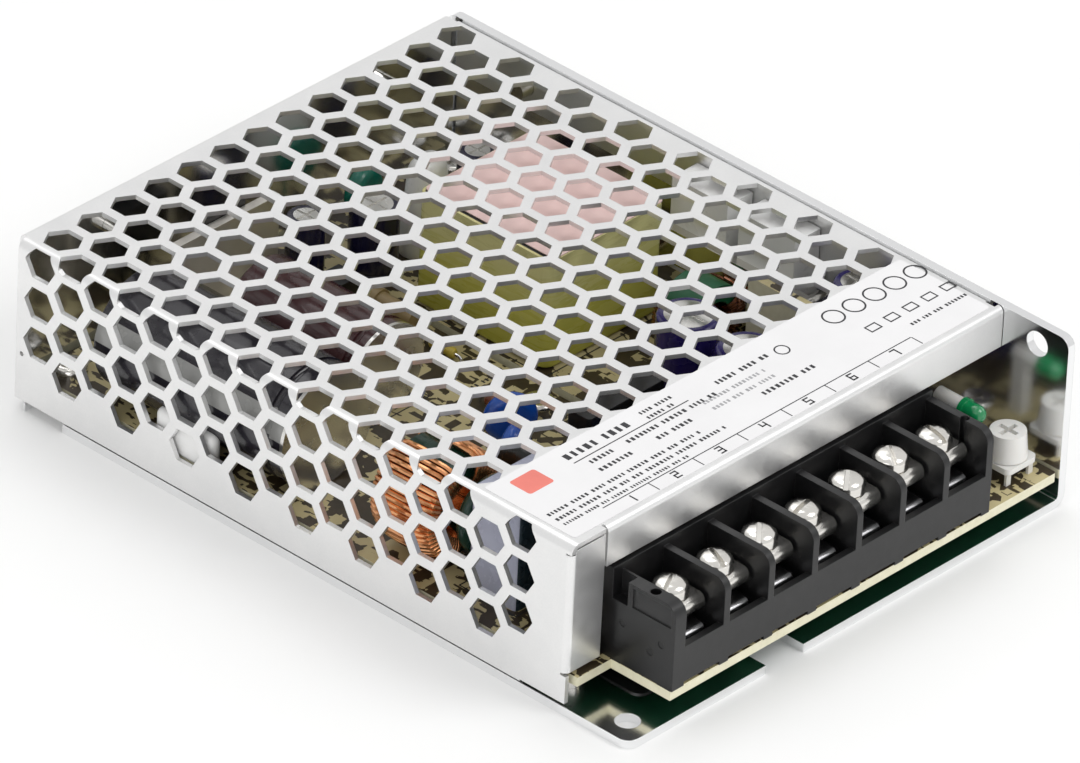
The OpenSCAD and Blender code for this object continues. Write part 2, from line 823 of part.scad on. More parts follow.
module bulk_capacitor_1() color("#2b2630") {
    lying_capacitor(bulk_x, bulk_y, bulk_d, bulk_l);
}

module bulk_capacitor_2() color("#3a2224") {
    lying_capacitor(bulk2_x, bulk2_y, bulk2_d, bulk2_l);
}

module filter_choke_core() color("#22302a") {
    translate([choke_x, choke_y, board_top + choke_r]) rotate([90, 0, 0])
        ring(choke_core_r[0], choke_core_r[1], choke_core_w);
}

module filter_choke_winding() color("peru") {
    translate([choke_x, choke_y, board_top + choke_r]) rotate([90, 0, 0]) for (a = [0, 180]) {
        rotate(a) ring_winding(choke_core_r, choke_core_w, choke_hole_r, choke_r, choke_w, 150);
    }
}

module x_capacitor() color("lightsteelblue") {
    translate([left_x + 14.6, front_y + 35.3, board_top]) rounded_block(14, 10, 17.6, 0.8);
}

module disc_capacitors() color("royalblue") {
    // Each is [from the left, from the front, turn]
    for (p = [[31.5, 53.5, 20], [37.5, 60, -35], [42.5, 30.5, 70], [67.5, 119.5, 10]]) {
        translate([left_x + p[0], front_y + p[1], board_top]) rotate(p[2]) disc_part(8.5, 3, 3);
    }
}

module surge_varistor() color("darkgreen") {
    translate([left_x + 13.5, front_y + 41.9, board_top]) disc_part(13, 2.6, 3);
}

module inrush_thermistor() color("#20241f") {
    translate([left_x + 25.5, front_y + 46.5, board_top]) rotate(90) disc_part(11, 4, 3);
}

module fuse() color("lightgray") {
    cap_l = 5;
    translate([left_x + 11.5, front_y + 24.5, board_top + 3]) rotate([0, 90, 0]) {
        cylinder(r = 2.4, h = 20);
        cylinder(r = 3, h = cap_l);
        translate([0, 0, 20 - cap_l]) cylinder(r = 3, h = cap_l);
    }
}

module bridge_rectifier() color("#161616") {
    translate([left_x + 41, front_y + 42, board_top]) {
        translate([0, 0, 4]) rounded_block(17, 4.6, 14.5, 0.6);
        for (i = [-1.5 : 1 : 1.5]) {
            translate([i * 4.2 - 0.6, -0.4, 0]) cube([1.2, 0.8, 4 + eps]);
        }
    }
}

module heatsink() color("lightgray") {
    along_x(sink_x[0], sink_x[1]) translate([sink_y + sink_t, board_top]) mirror([1, 0])
        fold_section(6, sink_h, sink_t, sink_t + 0.5);
}

module switching_transistor() color("#161616") {
    x = (sink_x[0] + sink_x[1]) / 2;
    y = sink_y + sink_t + 0.1;
    translate([x - 5, y, board_top + 5]) cube([10, 4.4, 9]);
    translate([x - 5, y, board_top + 14 - eps]) difference() {
        cube([10, 1.2, 6]);
        translate([5, -1, 3]) rotate([-90, 0, 0]) cylinder(r = 1.8, h = 4);
    }
    for (i = [-1 : 1]) translate([x + i * 2.54 - 0.4, y + 2.4, board_top]) cube([0.8, 0.5, 5.1]);
}

// ---------------------------------------------------------------- output side

// Output diodes, stood against the chassis wall
module output_rectifiers() color("#161616") {
    x = wall_in_x - cover_gap - cover_t - sleeve_wall - sleeve_gap - rectifier_body[0] - 0.2;
    for (y = rectifier_y) translate([x, y, board_top]) {
        translate([0, -rectifier_body[1] / 2, rectifier_leg_h]) cube(rectifier_body);
        translate([rectifier_body[0] - 1.2, -rectifier_body[1] / 2, rectifier_leg_h])
            cube([1.2, rectifier_body[1], rectifier_tab_h]);
        for (i = [-1 : 1]) {
            translate([1.6, i * 2.54 - 0.4, 0]) cube([0.5, 0.8, rectifier_leg_h + eps]);
        }
    }
}

// Soft caps pushed over the diodes from above
module insulating_sleeves() color("white") {
    wall = sleeve_wall + sleeve_gap;
    x = wall_in_x - cover_gap - cover_t - wall - rectifier_body[0] - 0.2;
    body = [rectifier_body[0], rectifier_body[1], rectifier_tab_h];
    for (y = rectifier_y) translate([x, y - body[1] / 2, board_top + rectifier_leg_h]) {
        difference() {
            translate([-wall, -wall, 0])
                cube([body[0] + 2 * wall, body[1] + 2 * wall, body[2] + wall]);
            translate([-sleeve_gap, -sleeve_gap, -1])
                cube([body[0] + 2 * sleeve_gap, body[1] + 2 * sleeve_gap, body[2] + 1 + sleeve_gap]);
        }
    }
}

// Steel bar that presses both sleeves to the wall
module clamp_bar() color("silver") {
    wall = sleeve_wall + sleeve_gap;
    x = wall_in_x - cover_gap - cover_t - 2 * wall - rectifier_body[0] - 0.2;
    translate([x, bar_y[0], board_top + rectifier_leg_h + 2]) rotate([90, 0, -90])
        linear_extrude(bar_t) mirror([1, 0]) difference() {
            rounded_rect(bar_y[1] - bar_y[0], 6, 1);
            for (y = [2.6, bar_y[1] - bar_y[0] - 2.6]) translate([y, 3]) circle(r = m3_r + m3_clear);
        }
}

module clamp_bar_screws() color("silver") {
    wall = sleeve_wall + sleeve_gap;
    x = wall_in_x - cover_gap - cover_t - 2 * wall - rectifier_body[0] - 0.2 - bar_t;
    for (y = [bar_y[0] + 2.6, bar_y[1] - 2.6]) {
        translate([x, y, board_top + rectifier_leg_h + 5]) rotate([0, -90, 0])
            pan_screw(m3_head_r, m3_head_h, m3_r, wall_in_x - x);
    }
}

module output_capacitors() color("#2a2450") {
    // Each is [from the wall, from the front, diameter, height]
    for (p = [[32.2, 48, 10, 20], [32.6, 35.4, 10, 20], [21.8, 31, 10, 18], [6.5, 36.5, 8, 20]]) {
        translate([wall_in_x - p[0], front_y + p[1], board_top]) electrolytic(p[2], p[3]);
    }
}

module output_choke_core() color("seagreen") {
    translate([output_choke_x, output_choke_y, board_top + output_choke_r]) rotate([90, 0, 0])
        ring(output_choke_core_r[0], output_choke_core_r[1], output_choke_core_w);
}

module output_choke_winding() color("peru") {
    translate([output_choke_x, output_choke_y, board_top + output_choke_r]) rotate([90, 0, 0])
        rotate(-90) ring_winding(output_choke_core_r, output_choke_core_w,
            output_choke_hole_r, output_choke_r, output_choke_w, 250);
}

// Small board that stands between the output parts
module control_board() color("beige") {
    translate([wall_in_x - 14.8, front_y + 37.5, board_top]) cube([1.6, 14, 17.5]);
}

module optocoupler() color("#161616") {
    translate([wall_in_x - 45.5, rear_y - 20.5, board_top]) {
        translate([0, 0, 0.6]) rounded_block(6.4, 4.6, 3.4, 0.3);
        for (x = [-3.6, 3.2], y = [-1.27, 1.27]) {
            translate([x, y - 0.3, 0]) cube([0.4, 0.6, 2]);
        }
    }
}

module bias_capacitors() color("#27235a") {
    for (p = [[35, 18.5, 8, 12], [44, 12.5, 6.3, 11], [11, 17.5, 6.3, 11]]) {
        translate([wall_in_x - p[0], rear_y - p[1], board_top]) electrolytic(p[2], p[3]);
    }
}

// Axial resistors lying on the board
module power_resistors() color("tan") {
    for (p = [[-19, front_y + 32.8], [4, 34]]) {
        translate([p[0], p[1] - 5, board_top + 2]) rotate([-90, 0, 0]) rotate_extrude() {
            square([1.6, 10]);
            square([2, 2.4]);
            translate([0, 7.6]) square([2, 2.4]);
        }
    }
}

// White silicone that holds the tall parts still
module sealant_beads() color("white") {
    translate([transformer_x + 1, transformer_y + transformer_l / 2 + 11, board_top])
        intersection() {
            hull() {
                translate([-3.4, -1.5, 1]) sphere(r = 2.8, $fn = 20);
                translate([2.6, 0, 1]) sphere(r = 3, $fn = 20);
                translate([-1.6, -1, 13.4]) sphere(r = 2.6, $fn = 20);
                translate([1.4, 0.4, 12.4]) sphere(r = 2.6, $fn = 20);
            }
            translate([-20, -10, 0]) cube([40, 20, 30]);
        }
    // Bead along the large capacitor, on the mesh side
    difference() {
        translate([board_left + 0.8, bulk_y - 5, board_top]) intersection() {
            hull() for (y = [0, 10], z = [0.7, 5]) {
                translate([0, y, z]) sphere(r = 1.2, $fn = 16);
            }
            translate([-5, -5, 0]) cube([10, 25, 8]);
        }
        translate([bulk_x, bulk_y - bulk_l, board_top + bulk_d / 2]) rotate([-90, 0, 0])
            cylinder(r = bulk_d / 2 + 0.05, h = 2 * bulk_l);
    }
}

chassis();
cover();
cover_screws();
rating_label();
insulation_sheet();
circuit_board();
board_standoffs();
board_screws();
terminal_block();
terminal_plates();
terminal_screw(0);  // terminal_screw_1
terminal_screw(1);  // terminal_screw_2
terminal_screw(2);  // terminal_screw_3
terminal_screw(3);  // terminal_screw_4
terminal_screw(4);  // terminal_screw_5
terminal_screw(5);  // terminal_screw_6
terminal_screw(6);  // terminal_screw_7
clamp_washer(0);  // clamp_washer_1
clamp_washer(1);  // clamp_washer_2
clamp_washer(2);  // clamp_washer_3
clamp_washer(3);  // clamp_washer_4
clamp_washer(4);  // clamp_washer_5
clamp_washer(5);  // clamp_washer_6
clamp_washer(6);  // clamp_washer_7
trimmer_base();
trimmer_knob();
status_led();
led_spacer();
transformer_core();
transformer_winding();
transformer_tape();
transformer_label();
bulk_capacitor_1();
bulk_capacitor_2();
filter_choke_core();
filter_choke_winding();
x_capacitor();
disc_capacitors();
surge_varistor();
inrush_thermistor();
fuse();
bridge_rectifier();
heatsink();
switching_transistor();
output_rectifiers();
insulating_sleeves();
clamp_bar();
clamp_bar_screws();
output_capacitors();
output_choke_core();
output_choke_winding();
control_board();
optocoupler();
bias_capacitors();
power_resistors();
sealant_beads();
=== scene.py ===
"""Looks of an enclosed switching power supply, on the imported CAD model.

The CAD nodes keep their shapes and get materials. Pieces made here add what the CAD leaves out:
wound wires, threads, printed rules, leads, solder and the small parts on the board.
Lengths are millimetres in this file and metres in Blender. +X is the chassis wall, -Y the terminals.
"""

import math
import random

import bmesh
import bpy
from mathutils import Euler, Matrix, Vector


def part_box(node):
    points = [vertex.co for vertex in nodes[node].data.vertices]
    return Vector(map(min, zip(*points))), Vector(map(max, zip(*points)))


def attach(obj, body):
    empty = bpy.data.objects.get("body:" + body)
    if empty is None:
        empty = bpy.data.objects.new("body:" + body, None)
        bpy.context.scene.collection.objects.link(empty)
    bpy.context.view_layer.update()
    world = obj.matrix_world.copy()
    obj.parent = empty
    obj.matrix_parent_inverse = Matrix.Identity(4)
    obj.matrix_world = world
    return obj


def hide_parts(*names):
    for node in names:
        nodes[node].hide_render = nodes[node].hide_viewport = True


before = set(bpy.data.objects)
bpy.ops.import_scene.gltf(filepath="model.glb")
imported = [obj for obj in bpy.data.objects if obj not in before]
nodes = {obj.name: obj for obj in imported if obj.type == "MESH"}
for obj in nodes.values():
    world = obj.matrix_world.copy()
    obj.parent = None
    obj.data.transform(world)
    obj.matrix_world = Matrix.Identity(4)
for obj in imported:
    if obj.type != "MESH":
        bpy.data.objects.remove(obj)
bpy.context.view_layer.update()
MM = 0.001
rng = random.Random(7)


def span(node):
    """Lowest and highest corner of a CAD node, in millimetres."""
    lo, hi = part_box(node)
    return lo / MM, hi / MM


def centre(node):
    lo, hi = span(node)
    return (lo + hi) / 2


BOARD_TOP = span("circuit_board")[1].z
POLES = 7
bays = [centre("terminal_screw_%d" % (i + 1)) for i in range(POLES)]
pitch = bays[1].x - bays[0].x

# ------------------------------------------------------------------ materials


class Look:
    """A procedural material around one Principled shader."""

    def __init__(self, name, color, rough, metallic=0.0, **sockets):
        self.material = bpy.data.materials.new(name)
        self.material.use_nodes = True
        self.tree = self.material.node_tree
        self.shader = self.tree.nodes["Principled BSDF"]
        self.set("Base Color", (*color, 1.0))
        self.set("Roughness", rough)
        self.set("Metallic", metallic)
        for key, value in sockets.items():
            self.set(key.replace("_", " "), value)
        self.coords = self.node("ShaderNodeTexCoord").outputs["Object"]
        self.normal = None

    def set(self, socket, value):
        self.shader.inputs[socket].default_value = value

    def node(self, kind, **inputs):
        made = self.tree.nodes.new(kind)
        for key, value in inputs.items():
            self.feed(made.inputs[key.replace("_", " ")], value)
        return made

    def feed(self, socket, value):
        if isinstance(value, bpy.types.NodeSocket):
            self.tree.links.new(value, socket)
        else:
            socket.default_value = value

    def stretched(self, scale, turn=(0, 0, 0)):
        """Object coordinates in millimetres, scaled by axis."""
        mapping = self.node("ShaderNodeMapping", Vector=self.coords)
        mapping.inputs["Scale"].default_value = [s / MM for s in scale]
        mapping.inputs["Rotation"].default_value = turn
        return mapping.outputs["Vector"]

    def noise(self, size, detail=2.0, rough=0.5, vector=None):
        """Noise with features about size millimetres across."""
        vector = vector or self.stretched((1 / size,) * 3)
        made = self.node("ShaderNodeTexNoise", Vector=vector, Scale=1.0, Detail=detail, Roughness=rough)
        return made.outputs["Fac"]

    def cells(self, vector):
        """One random value per cell of a unit Voronoi pattern with square corners."""
        made = self.node("ShaderNodeTexVoronoi", Vector=vector, Scale=1.0)
        made.distance = "CHEBYCHEV"
        return self.node("ShaderNodeSeparateColor", Color=made.outputs["Color"]).outputs["Red"]

    def ramp(self, fac, stops):
        """A colour ramp from [(position, colour or grey), ...]."""
        made = self.node("ShaderNodeValToRGB", Fac=fac)
        elements = made.color_ramp.elements
        while len(elements) < len(stops):
            elements.new(0.5)
        for element, (place, value) in zip(elements, stops):
            element.position = place
            grey = isinstance(value, (int, float))
            element.color = (value, value, value, 1) if grey else (*value, 1)
        return made.outputs["Color"]

    def mix(self, fac, a, b):
        made = self.tree.nodes.new("ShaderNodeMix")
        made.data_type = "RGBA"
        self.feed(made.inputs["Factor"], fac)
        self.feed(made.inputs[6], a if isinstance(a, bpy.types.NodeSocket) else (*a, 1))
        self.feed(made.inputs[7], b if isinstance(b, bpy.types.NodeSocket) else (*b, 1))
        return made.outputs[2]

    def math(self, operation, a, b=0.0, c=0.0):
        made = self.tree.nodes.new("ShaderNodeMath")
        made.operation = operation
        for socket, value in zip(made.inputs, (a, b, c)):
            self.feed(socket, value)
        return made.outputs[0]

    def paint(self, color):
        self.feed(self.shader.inputs["Base Color"], color)

    def tint(self, fac, low, high):
        """Base colour between two colours by fac."""
        self.paint(self.ramp(fac, [(0.0, low), (1.0, high)]))

    def roughen(self, fac, low, high):
        """Roughness between two values by fac."""
        made = self.node("ShaderNodeMapRange", Value=fac)
        made.inputs["To Min"].default_value = low
        made.inputs["To Max"].default_value = high
        self.feed(self.shader.inputs["Roughness"], made.outputs["Result"])

    def bump(self, fac, height, strength=1.0):
        """Surface relief of a height in millimetres."""
        made = self.node("ShaderNodeBump", Height=fac, Strength=strength, Distance=height * MM)
        if self.normal:
            self.feed(made.inputs["Normal"], self.normal)
        self.normal = made.outputs["Normal"]
        self.feed(self.shader.inputs["Normal"], self.normal)

    def soft_edges(self, radius):
        """Rounds the look of sharp CAD edges by a radius in millimetres."""
        made = self.node("ShaderNodeBevel", Radius=radius * MM)
        made.samples = 4
        self.normal = made.outputs["Normal"]
        self.feed(self.shader.inputs["Normal"], self.normal)

    def axis(self, name):
        """A coordinate in millimetres, by axis letter."""
        split = self.node("ShaderNodeSeparateXYZ", Vector=self.coords)
        return self.math("MULTIPLY", split.outputs[name], 1 / MM)

    def facing(self, name, least=0.7):
        """1 where the surface faces along an axis by at least that cosine, otherwise 0."""
        normal = self.node("ShaderNodeNewGeometry").outputs["Normal"]
        part = self.node("ShaderNodeSeparateXYZ", Vector=normal).outputs[name[-1]]
        if name.startswith("-"):
            part = self.math("MULTIPLY", part, -1.0)
        return self.math("GREATER_THAN", part, least)

    def between(self, value, low, high):
        """1 where value lies between low and high, otherwise 0."""
        above = self.math("GREATER_THAN", value, low)
        below = self.math("LESS_THAN", value, high)
        return self.math("MULTIPLY", above, below)


def plain(name, color, rough, metallic=0.0, grain=0.35, vary=0.12, relief=0.004, edges=0.06, **sockets):
    """A material with slight mottling of colour and gloss, and a fine grain."""
    look = Look(name, color, rough, metallic, **sockets)
    if edges:
        look.soft_edges(edges)
    cloud = look.noise(grain * 12, 3)
    look.tint(cloud, [c * (1 - vary) for c in color], [min(1, c * (1 + vary)) for c in color])
    look.roughen(look.noise(grain * 5, 4), rough * 0.8, min(1, rough * 1.25))
    if relief:
        look.bump(look.noise(grain, 2), relief)
    return look


def satin_sheet():
    """Satin aluminium sheet of the cover: fine speckle, cloudy gloss and a slight wave."""
    look = Look("satin_sheet", (0.84, 0.84, 0.835), 0.34, 0.88)
    look.soft_edges(0.12)
    speckle = look.noise(0.3, 3, 0.7)
    cloud = look.noise(9, 4, 0.6)
    look.tint(look.math("MULTIPLY_ADD", speckle, 0.4, look.math("MULTIPLY", cloud, 0.6)),
              (0.74, 0.745, 0.75), (0.93, 0.925, 0.915))
    look.roughen(look.noise(2.4, 4), 0.27, 0.46)
    look.bump(look.noise(5, 2), 0.03)
    look.bump(speckle, 0.005)
    return look


def bright_aluminium():
    """Rolled bright aluminium: faint lines along the sheet and patches of gloss."""
    look = Look("bright_aluminium", (0.88, 0.885, 0.89), 0.14, 1.0)
    look.soft_edges(0.12)
    lines = look.noise(1, 4, 0.6, look.stretched((2.2, 0.05, 2.2)))
    look.tint(look.noise(18, 3), (0.82, 0.825, 0.83), (0.94, 0.945, 0.95))
    look.roughen(look.math("MULTIPLY_ADD", lines, 0.6, look.math("MULTIPLY", look.noise(6, 4), 0.4)),
                 0.07, 0.24)
    look.bump(lines, 0.002)
    return look


def dull_aluminium():
    """Milled aluminium of the heatsink, a little warm and cloudy."""
    look = Look("dull_aluminium", (0.80, 0.77, 0.72), 0.38, 0.85)
    look.soft_edges(0.15)
    look.tint(look.noise(7, 4), (0.66, 0.63, 0.58), (0.86, 0.83, 0.77))
    look.roughen(look.noise(3, 3), 0.30, 0.50)
    look.bump(look.noise(1, 3, 0.6, look.stretched((0.3, 3.0, 3.0))), 0.006)
    return look


def board_laminate():
    """Cream laminate: large dark blocks painted on top as shade between the parts, small printed dashes,
    green mask below, bare edges.
    """
    look = Look("board_laminate", (0.62, 0.54, 0.30), 0.42)
    look.soft_edges(0.05)
    cream = look.ramp(look.noise(8, 3), [(0.0, (0.50, 0.42, 0.20)), (1.0, (0.66, 0.58, 0.34))])
    brown = look.ramp(look.noise(2.5, 3), [(0.0, (0.020, 0.014, 0.007)), (1.0, (0.07, 0.048, 0.022))])
    blocks = look.cells(look.stretched((1 / 3.2, 1 / 2.4, 0.01)))
    dashes = look.cells(look.stretched((1 / 0.8, 1 / 1.9, 0.01)))
    cover = look.noise(1, 2, 0.5, look.stretched((1 / 16.0, 1 / 16.0, 0.01)))
    # The large dark blocks are painted shade under and between the tall parts, not print; only the small
    # dashes are print.
    painted_shade_blocks = look.math("LESS_THAN", blocks, look.ramp(cover, [(0.35, 0.18), (0.65, 0.62)]))
    small = look.math("LESS_THAN", dashes, 0.22)
    print_and_painted_shade = look.math("MAXIMUM", painted_shade_blocks, small)
    top = look.mix(print_and_painted_shade, cream, brown)
    edge = look.ramp(look.noise(1.2, 3), [(0.0, (0.70, 0.66, 0.46)), (1.0, (0.88, 0.85, 0.66))])
    mask = look.ramp(look.noise(5, 3), [(0.0, (0.004, 0.045, 0.020)), (1.0, (0.010, 0.090, 0.042))])
    sides = look.mix(look.facing("-Z"), edge, mask)
    look.paint(look.mix(look.facing("Z"), sides, top))
    look.roughen(look.noise(1.5, 3), 0.30, 0.52)
    look.bump(look.noise(0.5, 2), 0.005)
    return look


def moulded_black():
    """Semi-gloss black moulding with a soft orange-peel surface."""
    look = Look("moulded_black", (0.006, 0.006, 0.0065), 0.34)
    look.soft_edges(0.20)
    look.tint(look.noise(8, 3), (0.004, 0.004, 0.0045), (0.012, 0.012, 0.0125))
    look.roughen(look.noise(2.2, 4), 0.26, 0.46)
    look.bump(look.noise(0.8, 3), 0.010)
    return look


def sleeve(name, color, axis, top, highlight_band, centres=()):
    """Shrink sleeve of a capacitor, rolled over the can's ends, with a pale band painted as a highlight
    along its side when one is given.

    top gives where the sleeve starts and ends along its axis. centres are the (x, y, radius) of
    upright cans, whose bare metal tops show inside the rolled edge.
    """
    look = Look(name, color, 0.24, Coat_Weight=0.3)
    look.soft_edges(0.10)
    along = look.axis(axis)
    film = look.ramp(look.noise(5, 3), [(0.0, [c * 0.7 for c in color]), (1.0, [c * 1.4 for c in color])])
    # A pale band over a range of heights along the can, painted as a highlight.
    if highlight_band:
        other, place, half = highlight_band
        painted_highlight = look.between(look.axis(other), place - half, place + half)
        film = look.mix(painted_highlight, film, (0.30, 0.30, 0.29))
    bare = look.math("SUBTRACT", 1.0, look.between(along, *top))
    for x, y, r in centres:
        dx = look.math("SUBTRACT", look.axis("X"), x)
        dy = look.math("SUBTRACT", look.axis("Y"), y)
        inside = look.math("LESS_THAN", look.math("ADD", look.math("MULTIPLY", dx, dx),
                                                  look.math("MULTIPLY", dy, dy)), r * r)
        raised = look.math("GREATER_THAN", along, top[0] + 4)
        bare = look.math("MAXIMUM", bare, look.math("MULTIPLY", inside, raised))
    metal = look.ramp(look.noise(2, 3), [(0.0, (0.66, 0.65, 0.62)), (1.0, (0.86, 0.85, 0.82))])
    look.paint(look.mix(bare, film, metal))
    look.feed(look.shader.inputs["Metallic"], bare)
    look.roughen(look.noise(3, 3), 0.18, 0.34)
    look.bump(look.noise(1.2, 2), 0.008)
    return look


def wound_tape():
    """Layers of pale lemon film wound round the transformer, painted darker olive towards the bottom as
    shade and paler at the top as light.
    """
    look = Look("wound_tape", (0.72, 0.68, 0.22), 0.26, Coat_Weight=0.35)
    look.soft_edges(0.25)
    creases = look.noise(1, 3, 0.6, look.stretched((0.10, 0.10, 0.7)))
    # Colour by height: the olive low part is painted shade, the pale top is painted light.
    height = look.math("MULTIPLY_ADD", look.axis("Z"), 1 / 26, look.math("MULTIPLY", creases, 0.25))
    look.paint(look.ramp(height, [(0.25, (0.42, 0.40, 0.04)), (0.70, (0.64, 0.62, 0.13)),
                                  (1.0, (0.80, 0.77, 0.36))]))
    look.roughen(creases, 0.18, 0.38)
    look.bump(creases, 0.05)
    return look


def enamelled_copper(name, low, high):
    look = Look(name, high, 0.22, 0.95, Coat_Weight=0.5)
    look.tint(look.noise(2.5, 3), low, high)
    look.roughen(look.noise(1.2, 3), 0.14, 0.30)
    return look


def matt_label(name, low, high):
    """Printed film laid on a surface, with a faint paper tooth."""
    look = Look(name, high, 0.45)
    look.soft_edges(0.04)
    look.tint(look.noise(7, 3), low, high)
    look.roughen(look.noise(2, 3), 0.36, 0.56)
    look.bump(look.noise(0.3, 2), 0.004)
    return look


def film_capacitor():
    """Pale blue-grey box, with its face towards the terminals painted dark as shade."""
    look = Look("film_capacitor", (0.46, 0.48, 0.60), 0.28)
    look.soft_edges(0.35)
    box = look.ramp(look.noise(6, 3), [(0.0, (0.40, 0.42, 0.54)), (1.0, (0.52, 0.54, 0.66))])
    # The face towards the terminals is painted dark blue-grey as shade from the gap behind the terminal
    # block.
    painted_shade_face = look.ramp(look.noise(5, 3), [(0.0, (0.010, 0.020, 0.028)), (1.0, (0.035, 0.060, 0.078))])
    look.paint(look.mix(look.facing("-Y"), box, painted_shade_face))
    look.roughen(look.noise(2, 3), 0.20, 0.34)
    look.bump(look.noise(0.5, 2), 0.005)
    return look


def glass_fuse():
    """Ceramic barrel between two tinned caps."""
    lo, hi = span("fuse")
    look = Look("fuse", (0.72, 0.70, 0.64), 0.25)
    look.soft_edges(0.10)
    barrel = look.between(look.axis("X"), lo.x + 5, hi.x - 5)
    white = look.ramp(look.noise(3, 3), [(0.0, (0.62, 0.58, 0.50)), (1.0, (0.78, 0.75, 0.68))])
    metal = look.ramp(look.noise(2, 3), [(0.0, (0.62, 0.61, 0.58)), (1.0, (0.84, 0.83, 0.80))])
    look.paint(look.mix(barrel, metal, white))
    look.feed(look.shader.inputs["Metallic"], look.math("SUBTRACT", 1.0, barrel))
    look.roughen(look.noise(1.5, 3), 0.18, 0.34)
    return look


def dipped_discs():
    """Royal blue dip on the ceramic discs, sea green on the one by the rear wall."""
    look = Look("dipped_discs", (0.01, 0.08, 0.46), 0.20, Coat_Weight=0.3)
    blue = look.ramp(look.noise(4, 3), [(0.0, (0.004, 0.035, 0.30)), (1.0, (0.015, 0.13, 0.58))])
    green = look.ramp(look.noise(4, 3), [(0.0, (0.0, 0.10, 0.07)), (1.0, (0.01, 0.22, 0.15))])
    look.paint(look.mix(look.math("GREATER_THAN", look.axis("Y"), 40.0), blue, green))
    look.roughen(look.noise(2, 3), 0.15, 0.30)
    look.bump(look.noise(1.0, 2), 0.03)
    return look


LOOKS = {
    "sheet": satin_sheet(),
    "plate": bright_aluminium(),
    "sink": dull_aluminium(),
    "board": board_laminate(),
    "black": moulded_black(),
    "nickel": plain("nickel_plate", (0.76, 0.74, 0.70), 0.16, 1.0, grain=0.4, vary=0.12, edges=0.10),
    "tin": plain("bright_tin", (0.86, 0.86, 0.88), 0.20, 1.0, grain=0.6, vary=0.10, relief=0.006,
                 edges=0.10),
    "solder": plain("solder", (0.66, 0.67, 0.68), 0.24, 1.0, grain=0.5, vary=0.15, relief=0.01, edges=0),
    "label": matt_label("label_film", (0.76, 0.755, 0.76), (0.84, 0.835, 0.84)),
    "pink": matt_label("pink_paper", (0.82, 0.60, 0.57), (0.90, 0.70, 0.67)),
    "ink": plain("black_ink", (0.020, 0.020, 0.024), 0.5, grain=0.3, vary=0.3, relief=0, edges=0),
    "pale_ink": plain("grey_ink", (0.34, 0.34, 0.35), 0.5, grain=0.3, vary=0.2, relief=0, edges=0),
    "red_ink": plain("red_ink", (0.78, 0.20, 0.16), 0.45, grain=0.3, vary=0.12, relief=0, edges=0),
    "film": plain("black_film", (0.010, 0.010, 0.010), 0.30, grain=1.2, vary=0.3, relief=0.01),
    "white": plain("white_moulding", (0.80, 0.79, 0.76), 0.30, grain=0.4, vary=0.05, relief=0.006,
                   edges=0.12, Subsurface_Weight=0.2, Subsurface_Radius=(0.0012, 0.0010, 0.0008)),
    "silicone": plain("white_silicone", (0.84, 0.84, 0.83), 0.28, grain=1.5, vary=0.06, relief=0.06,
                      edges=0.15),
    "green_lens": plain("green_lens", (0.01, 0.36, 0.12), 0.08, grain=0.8, vary=0.2, relief=0.0, edges=0,
                        Transmission_Weight=0.35, Coat_Weight=0.6),
    "ferrite": plain("ferrite", (0.020, 0.022, 0.021), 0.42, grain=0.3, vary=0.3, relief=0.01, edges=0.15),
    "tape": wound_tape(),
    "copper": enamelled_copper("enamelled_copper", (0.62, 0.23, 0.08), (0.95, 0.50, 0.24)),
    "dark_wire": enamelled_copper("dark_wire", (0.10, 0.035, 0.015), (0.26, 0.09, 0.04)),
    "bobbin": plain("brown_bobbin", (0.05, 0.028, 0.015), 0.35, grain=0.6, vary=0.2, relief=0.01),
    "film_capacitor": film_capacitor(),
    "discs": dipped_discs(),
    "green": plain("green_dip", (0.004, 0.035, 0.022), 0.26, grain=1.0, vary=0.3, relief=0.03),
    "black_dip": plain("black_dip", (0.008, 0.009, 0.008), 0.28, grain=1.0, vary=0.3, relief=0.03),
    "green_core": plain("green_core", (0.008, 0.11, 0.045), 0.34, grain=0.5, vary=0.3, relief=0.02,
                        edges=0.25),
    "lacquer": plain("tan_lacquer", (0.34, 0.25, 0.12), 0.30, grain=0.8, vary=0.15, relief=0.01),
    "brown_dip": plain("brown_dip", (0.16, 0.045, 0.02), 0.28, grain=0.8, vary=0.2, relief=0.02),
    "yellow_dip": plain("yellow_dip", (0.62, 0.48, 0.07), 0.28, grain=0.8, vary=0.12, relief=0.02),
    "fuse": glass_fuse(),
}

# ------------------------------------------------------------------ geometry helpers


def add_piece(name, mesh, look, body="case", smooth=35, replaces=()):
    """Links a mesh given in millimetres as a piece that rides a body."""
    mesh.transform(Matrix.Scale(MM, 4))
    mesh.materials.append(LOOKS[look].material)
    for polygon in mesh.polygons:
        polygon.use_smooth = smooth > 0
    if smooth > 0:
        mesh.set_sharp_from_angle(angle=math.radians(smooth))
    piece = bpy.data.objects.new(name, mesh)
    bpy.context.scene.collection.objects.link(piece)
    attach(piece, body)
    if replaces:
        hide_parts(*replaces)
    return piece


def finish_mesh(bm, name):
    bmesh.ops.recalc_face_normals(bm, faces=bm.faces)
    mesh = bpy.data.meshes.new(name)
    bm.to_mesh(mesh)
    bm.free()
    return mesh


def carved(solid, cutter):
    """The mesh of solid with cutter taken away."""
    scene = bpy.context.scene
    a = bpy.data.objects.new("solid", solid)
    b = bpy.data.objects.new("cutter", cutter)
    for shape in (a, b):
        scene.collection.objects.link(shape)
    cut = a.modifiers.new("cut", "BOOLEAN")
    cut.operation, cut.solver, cut.object = "DIFFERENCE", "EXACT", b
    bpy.context.view_layer.update()
    made = bpy.data.meshes.new_from_object(a.evaluated_get(bpy.context.evaluated_depsgraph_get()))
    for shape in (a, b):
        bpy.data.objects.remove(shape)
    return made


